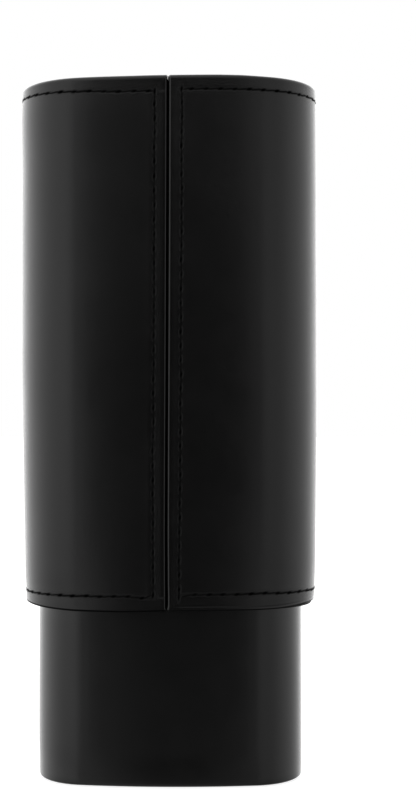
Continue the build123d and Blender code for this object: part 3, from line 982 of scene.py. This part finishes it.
def leather(name, dark, light, rough, grain=1.0, specular=0.5, edge=True, pit_shade=False):
    mat = Material(name)
    # broad cloudiness from dyeing and handling
    cloud = mat.noise(scale=0.045, detail=3, rough=0.55)
    patch = mat.noise(scale=0.16, detail=4, rough=0.6, distortion=0.6)
    tone = mat.remap(mat.blend((cloud, 0.6), (patch, 0.4)), span=(0.35, 0.65), to=(0, 1))
    colour = mat.mix(tone, dark, light)
    # grain: small rounded cells parted by fine creases, with pores between
    warp = mat.noise(scale=0.9, detail=2, rough=0.5)
    warped = mat.new("ShaderNodeVectorMath", {0: mat.mm}, operation="ADD")
    shift = mat.new("ShaderNodeVectorMath", {"Scale": 0.35}, operation="SCALE")
    warp_vector = mat.new("ShaderNodeCombineXYZ", dict.fromkeys(range(3), warp))
    mat.put(shift, 0, warp_vector.outputs[0])
    mat.put(warped, 1, shift.outputs[0])
    warped = warped.outputs[0]
    cells = mat.voronoi(scale=1.55, feature="DISTANCE_TO_EDGE", vector=warped)
    cells = mat.remap(cells, span=(0.0, 0.22), to=(0, 1))
    pores = mat.voronoi(scale=3.6, vector=warped)
    hair = mat.noise(scale=5.5, detail=3, rough=0.6)
    vary = mat.noise(scale=0.07, detail=2, rough=0.5)
    vary = mat.remap(vary, span=(0.35, 0.65), to=(0.8, 1.0))
    height = mat.blend((cells, 0.55), (pores, -0.35), (hair, 0.30))
    height = mat.maths("MULTIPLY", height, vary)
    crease = mat.remap(cells, span=(0, 0.6), to=(0.25, 0.0))
    colour = mat.mix(crease, colour, grey(0.003))
    roughness = mat.remap(patch, span=(0.3, 0.7), to=(rough - 0.008, rough + 0.010))
    if edge:  # rubbed edges are shinier, paler and smoother
        worn = mat.attribute("edge")
        breakup = mat.noise(scale=0.8, detail=3, rough=0.6)
        breakup = mat.remap(breakup, span=(0.3, 0.7), to=(0.5, 1.0))
        worn = mat.maths("MULTIPLY", worn, breakup)
        roughness = mat.mix(worn, roughness, grey(rough - 0.08))
        pale = tuple(channel * 1.6 for channel in light)
        colour = mat.mix(mat.maths("MULTIPLY", worn, 0.35), colour, pale)
        smoother = mat.remap(worn, span=(0, 1), to=(1.0, 0.45))
        height = mat.maths("MULTIPLY", height, smoother)
    mat.set("Specular IOR Level", specular)
    if pit_shade:  # painted shade: holes, deep cuts, the rows' grooves and the lower edge's shadow line are painted black and dull
        shade = mat.attribute("pit_shade")
        colour = mat.mix(shade, colour, grey(0.0002))
        mat.set("Specular IOR Level", mat.remap(shade, span=(0, 1), to=(specular, 0.0)))
        roughness = mat.mix(shade, roughness, grey(0.7))
    mat.set("Base Color", colour)
    mat.set("Roughness", roughness)
    mat.bump(height, strength=0.5 * grain, depth=0.05)
    return mat.data


def waxed_thread():
    mat = Material("waxed_thread")
    fibres = mat.noise(scale=9.0, detail=4, rough=0.7)
    tone = mat.remap(fibres, span=(0.35, 0.65), to=(0, 1))
    mat.set("Base Color", mat.mix(tone, grey(0.0008), (0.0024, 0.0024, 0.0023)))
    mat.set("Roughness", mat.remap(fibres, span=(0.3, 0.7), to=(0.55, 0.72)))
    sunk = mat.attribute("sunk")
    mat.set("Specular IOR Level", mat.remap(sunk, span=(0, 1), to=(0.05, 0.0)))
    mat.bump(fibres, strength=0.5, depth=0.05)
    return mat.data


def edge_paint_with_shade():
    mat = Material("edge_paint_with_shade")
    layers = mat.noise(scale=2.2, detail=4, rough=0.65)
    tone = mat.remap(layers, span=(0.3, 0.7), to=(0, 1))
    # edge paint with painted shade: the binding is darker and duller than the leather so that it
    # reads as the shade under the sleeve's edge
    mat.set("Base Color", mat.mix(tone, grey(0.0006), (0.0018, 0.0017, 0.0016)))
    mat.set("Roughness", mat.remap(layers, span=(0.3, 0.7), to=(0.50, 0.62)))
    mat.set("Specular IOR Level", 0.14)
    mat.bump(layers, strength=0.4, depth=0.06)
    return mat.data


def suede_lining():
    mat = Material("suede_lining")
    nap = mat.noise(scale=1.1, detail=5, rough=0.7, distortion=0.8)
    fuzz = mat.noise(scale=9.0, detail=3, rough=0.7)
    brushed = mat.noise(scale=0.12, detail=3, rough=0.55, distortion=1.2)
    nap_share = mat.maths("MULTIPLY", nap, 0.45)
    tone = mat.maths("ADD", nap_share, mat.blend((fuzz, 0.2), (brushed, 0.35)))
    tone = mat.remap(tone, span=(0.35, 0.65), to=(0, 1))
    mat.set("Base Color", mat.mix(tone, (0.016, 0.013, 0.011), (0.045, 0.037, 0.031)))
    mat.set("Roughness", 0.93)
    mat.set("Sheen Weight", 0.35)
    mat.set("Sheen Roughness", 0.5)
    mat.set("Specular IOR Level", 0.25)
    height = mat.maths("ADD", mat.maths("MULTIPLY", fuzz, 0.6), nap)
    mat.bump(height, strength=0.7, depth=0.12)
    return mat.data


def grey_board():
    mat = Material("grey_board")
    fibre = mat.noise(scale=1.6, detail=5, rough=0.7, distortion=0.4)
    fleck = mat.voronoi(scale=1.3)
    tone = mat.remap(fibre, span=(0.35, 0.65), to=(0, 1))
    colour = mat.mix(tone, (0.26, 0.21, 0.16), (0.42, 0.35, 0.27))
    fleck = mat.remap(fleck, span=(0.0, 0.12), to=(0.6, 0.0))
    mat.set("Base Color", mat.mix(fleck, colour, (0.12, 0.09, 0.07)))
    mat.set("Roughness", 0.9)
    mat.bump(fibre, strength=0.6, depth=0.15)
    return mat.data


def woven_tape_shade():
    mat = Material("woven_tape_shade")
    thread_rate = 12.0  # radians per mm
    axes = mat.new("ShaderNodeSeparateXYZ", {0: mat.mm}).outputs
    warp = mat.maths("SINE", mat.maths("MULTIPLY", axes[0], thread_rate))
    weft = mat.maths("SINE", mat.maths("MULTIPLY", axes[2], thread_rate))
    weave = mat.remap(mat.maths("MULTIPLY", warp, weft), span=(-1, 1), to=(0, 1))
    # painted shade: the near-black colour and low specular make the seam strip stand for the deep
    # shade at the bottom of the seam gaps
    mat.set("Base Color", mat.mix(weave, grey(0.0004), grey(0.0016)))
    mat.set("Roughness", 0.95)
    mat.set("Specular IOR Level", 0.04)
    mat.bump(weave, strength=0.6, depth=0.08)
    return mat.data


shell = leather(
    "black_leather_shell", dark=grey(0.0011), light=(0.0019, 0.0018, 0.0018), rough=0.26, pit_shade=True
)
cup_skin = leather(
    "black_leather_cup", dark=grey(0.0014), light=(0.0022, 0.0022, 0.0021), rough=0.26, grain=0.8,
    specular=0.56,
)
panel_skin = leather(
    "black_leather_panel", dark=grey(0.0020), light=(0.0034, 0.0033, 0.0033), rough=0.32,
    edge=False,
)
thread = waxed_thread()
edge_paint_shade = edge_paint_with_shade()
suede = suede_lining()
board = grey_board()
tape = woven_tape_shade()


def cover(ob, material):
    ob.data.materials.clear()
    ob.data.materials.append(material)


# (object, material, body it moves with, slot, frame piece it replaces)
for ob, material, body, slot, piece in (
    (wrap, shell, "sleeve", "shell_leather", "sleeve_leather_wrap"),
    (crown_thread, thread, "sleeve", "thread", "crown_stitching"),
    (mouth_thread, thread, "sleeve", "thread", "mouth_stitching"),
    (left_thread, thread, "sleeve", "thread", "seam_stitching_left"),
    (right_thread, thread, "sleeve", "thread", "seam_stitching_right"),
    (binding, edge_paint_shade, "sleeve", "edge_leather", "sleeve_mouth_binding"),
    (end_panel, panel_skin, "sleeve", "shell_leather", "sleeve_end_leather"),
    (sleeve_lining, suede, "sleeve", "lining", "sleeve_lining"),
    (ceiling, suede, "sleeve", "lining", "sleeve_ceiling_lining"),
    (cup_wrap, cup_skin, "cup", "cup_leather", "cup_leather_wrap"),
    (foot, panel_skin, "cup", "cup_leather", "cup_foot_leather"),
    (cup_lining, suede, "cup", "lining", "cup_lining"),
    (cup_floor, suede, "cup", "lining", "cup_floor_lining"),
):
    cover(ob, material)
    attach(ob, body)
    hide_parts(piece)

for name, material in (
    ("sleeve_core_tube", board),
    ("sleeve_end_board", board),
    ("cup_core_tube", board),
    ("cup_end_board", board),
    ("sleeve_seam_strip", tape),
    ("cup_seam_strip", tape),
):
    cover(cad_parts[name], material)

# ------------------------------------------------------------------ stage
scene = bpy.context.scene
scene.view_settings.view_transform = "Standard"
scene.view_settings.look = "None"
scene.view_settings.exposure = 0
scene.view_settings.gamma = 1


def pale_floor():
    """A softly glowing floor, clear when seen from underneath."""
    material = bpy.data.materials.new("pale_floor")
    tree = Tree(material)
    output = tree.new("ShaderNodeOutputMaterial")
    diffuse = tree.new("ShaderNodeBsdfDiffuse", {"Color": grey(0.5)})
    glow = tree.new("ShaderNodeEmission", {"Color": grey(1), "Strength": 0.80})
    lit = tree.new("ShaderNodeAddShader", {0: diffuse.outputs[0], 1: glow.outputs[0]})
    below = tree.new("ShaderNodeNewGeometry").outputs["Backfacing"]
    clear = tree.new("ShaderNodeBsdfTransparent")
    inputs = {0: below, 1: lit.outputs[0], 2: clear.outputs[0]}
    tree.put(output, 0, tree.new("ShaderNodeMixShader", inputs).outputs[0])
    return material


bpy.ops.mesh.primitive_plane_add(size=8, location=(0, 0, 0))
floor = bpy.context.object
floor.name = "studio_floor"
floor.data.materials.append(pale_floor())
floor.visible_glossy = False

# (degrees from the direction straight back past the camera, brightness) on either side
TENT_LEFT = [
    (0, 0), (10, 0), (14, 0.03), (18, 0.05), (23, 0.29), (30, 0.90), (40, 1.01), (52, 0.97),
    (66, 1.07), (82, 1.27), (100, 1.55), (120, 1.86), (145, 2.33), (180, 2.74),
]
TENT_RIGHT = [
    (0, 0), (10, 0), (14, 0.01), (18, 0.10), (23, 0.46), (30, 0.62), (40, 0.53), (52, 0.54),
    (66, 0.71), (82, 0.91), (100, 1.07), (120, 1.39), (145, 2.07), (180, 2.74),
]
TENT_SCALE = 4.0  # ramps hold brightness divided by this, and the strength restores it
BELOW_SHARE = 0.35  # light from below, as a share of the light from round about
SIDE_BLEND = 2.5  # how sharply the left curve gives way to the right one


def brightness(tree, angle, table):
    node = tree.new("ShaderNodeValToRGB", {0: angle})
    ramp = node.color_ramp
    ramp.interpolation = "LINEAR"
    while len(ramp.elements) < len(table):
        ramp.elements.new(0.5)
    for element, (degrees, value) in zip(ramp.elements, table):
        element.position = degrees / 180
        element.color = (*grey(value / TENT_SCALE), 1)
    return node.outputs[0]


def light_tent():
    """Bright all round, dark behind the camera, so a black case shows bright rims and a dark face.
    The camera itself sees plain white."""
    world = bpy.data.worlds.new("studio")
    scene.world = world
    tree = Tree(world)
    coords = tree.new("ShaderNodeTexCoord").outputs
    view = tree.new("ShaderNodeVectorMath", {0: coords["Camera"]}, operation="NORMALIZE")
    axes = tree.new("ShaderNodeSeparateXYZ", {0: view.outputs[0]}).outputs
    angle = tree.maths("ARCCOSINE", tree.maths("MULTIPLY", axes[2], -1.0))
    angle = tree.maths("DIVIDE", angle, math.pi)
    left = brightness(tree, angle, TENT_LEFT)
    right = brightness(tree, angle, TENT_RIGHT)
    side = tree.maths("ADD", tree.maths("MULTIPLY", axes[0], SIDE_BLEND), 0.5, clamp=True)
    tent = tree.new("ShaderNodeBackground", {"Color": tree.mix(side, left, right)})
    up = tree.new("ShaderNodeSeparateXYZ", {0: coords["Generated"]}).outputs[2]
    dimmed = TENT_SCALE * BELOW_SHARE
    strength = tree.remap(up, span=(-0.5, -0.08), to=(dimmed, TENT_SCALE))
    tree.put(tent, "Strength", strength)
    white = tree.new("ShaderNodeBackground", {"Color": grey(1)})
    seen = tree.new("ShaderNodeLightPath").outputs["Is Camera Ray"]
    inputs = {0: seen, 1: tent.outputs[0], 2: white.outputs[0]}
    pick = tree.new("ShaderNodeMixShader", inputs)
    tree.new("ShaderNodeOutputWorld", {0: pick.outputs[0]})


light_tent()

# ------------------------------------------------------------------ camera
CAMERA_TURN = 0.0145  # radians about z, towards +X from straight in front
CAMERA_DISTANCE = 430.0
CAMERA_SHIFT = 10.75  # sideways, to the camera's right
CAMERA_HEIGHT = 106.8

camera_data = bpy.data.cameras.new("camera")
camera = bpy.data.objects.new("camera", camera_data)
scene.collection.objects.link(camera)
scene.camera = camera
camera_data.sensor_width = 36
camera_data.lens = 67.3316708
turn_sin, turn_cos = math.sin(CAMERA_TURN), math.cos(CAMERA_TURN)
camera.location = (
    (CAMERA_DISTANCE * turn_sin + CAMERA_SHIFT * turn_cos) * MM,
    (-CAMERA_DISTANCE * turn_cos + CAMERA_SHIFT * turn_sin) * MM,
    CAMERA_HEIGHT * MM,
)
camera.rotation_euler = (math.pi / 2, 0, CAMERA_TURN)
camera_data.clip_start = 0.01
camera_data.clip_end = 50
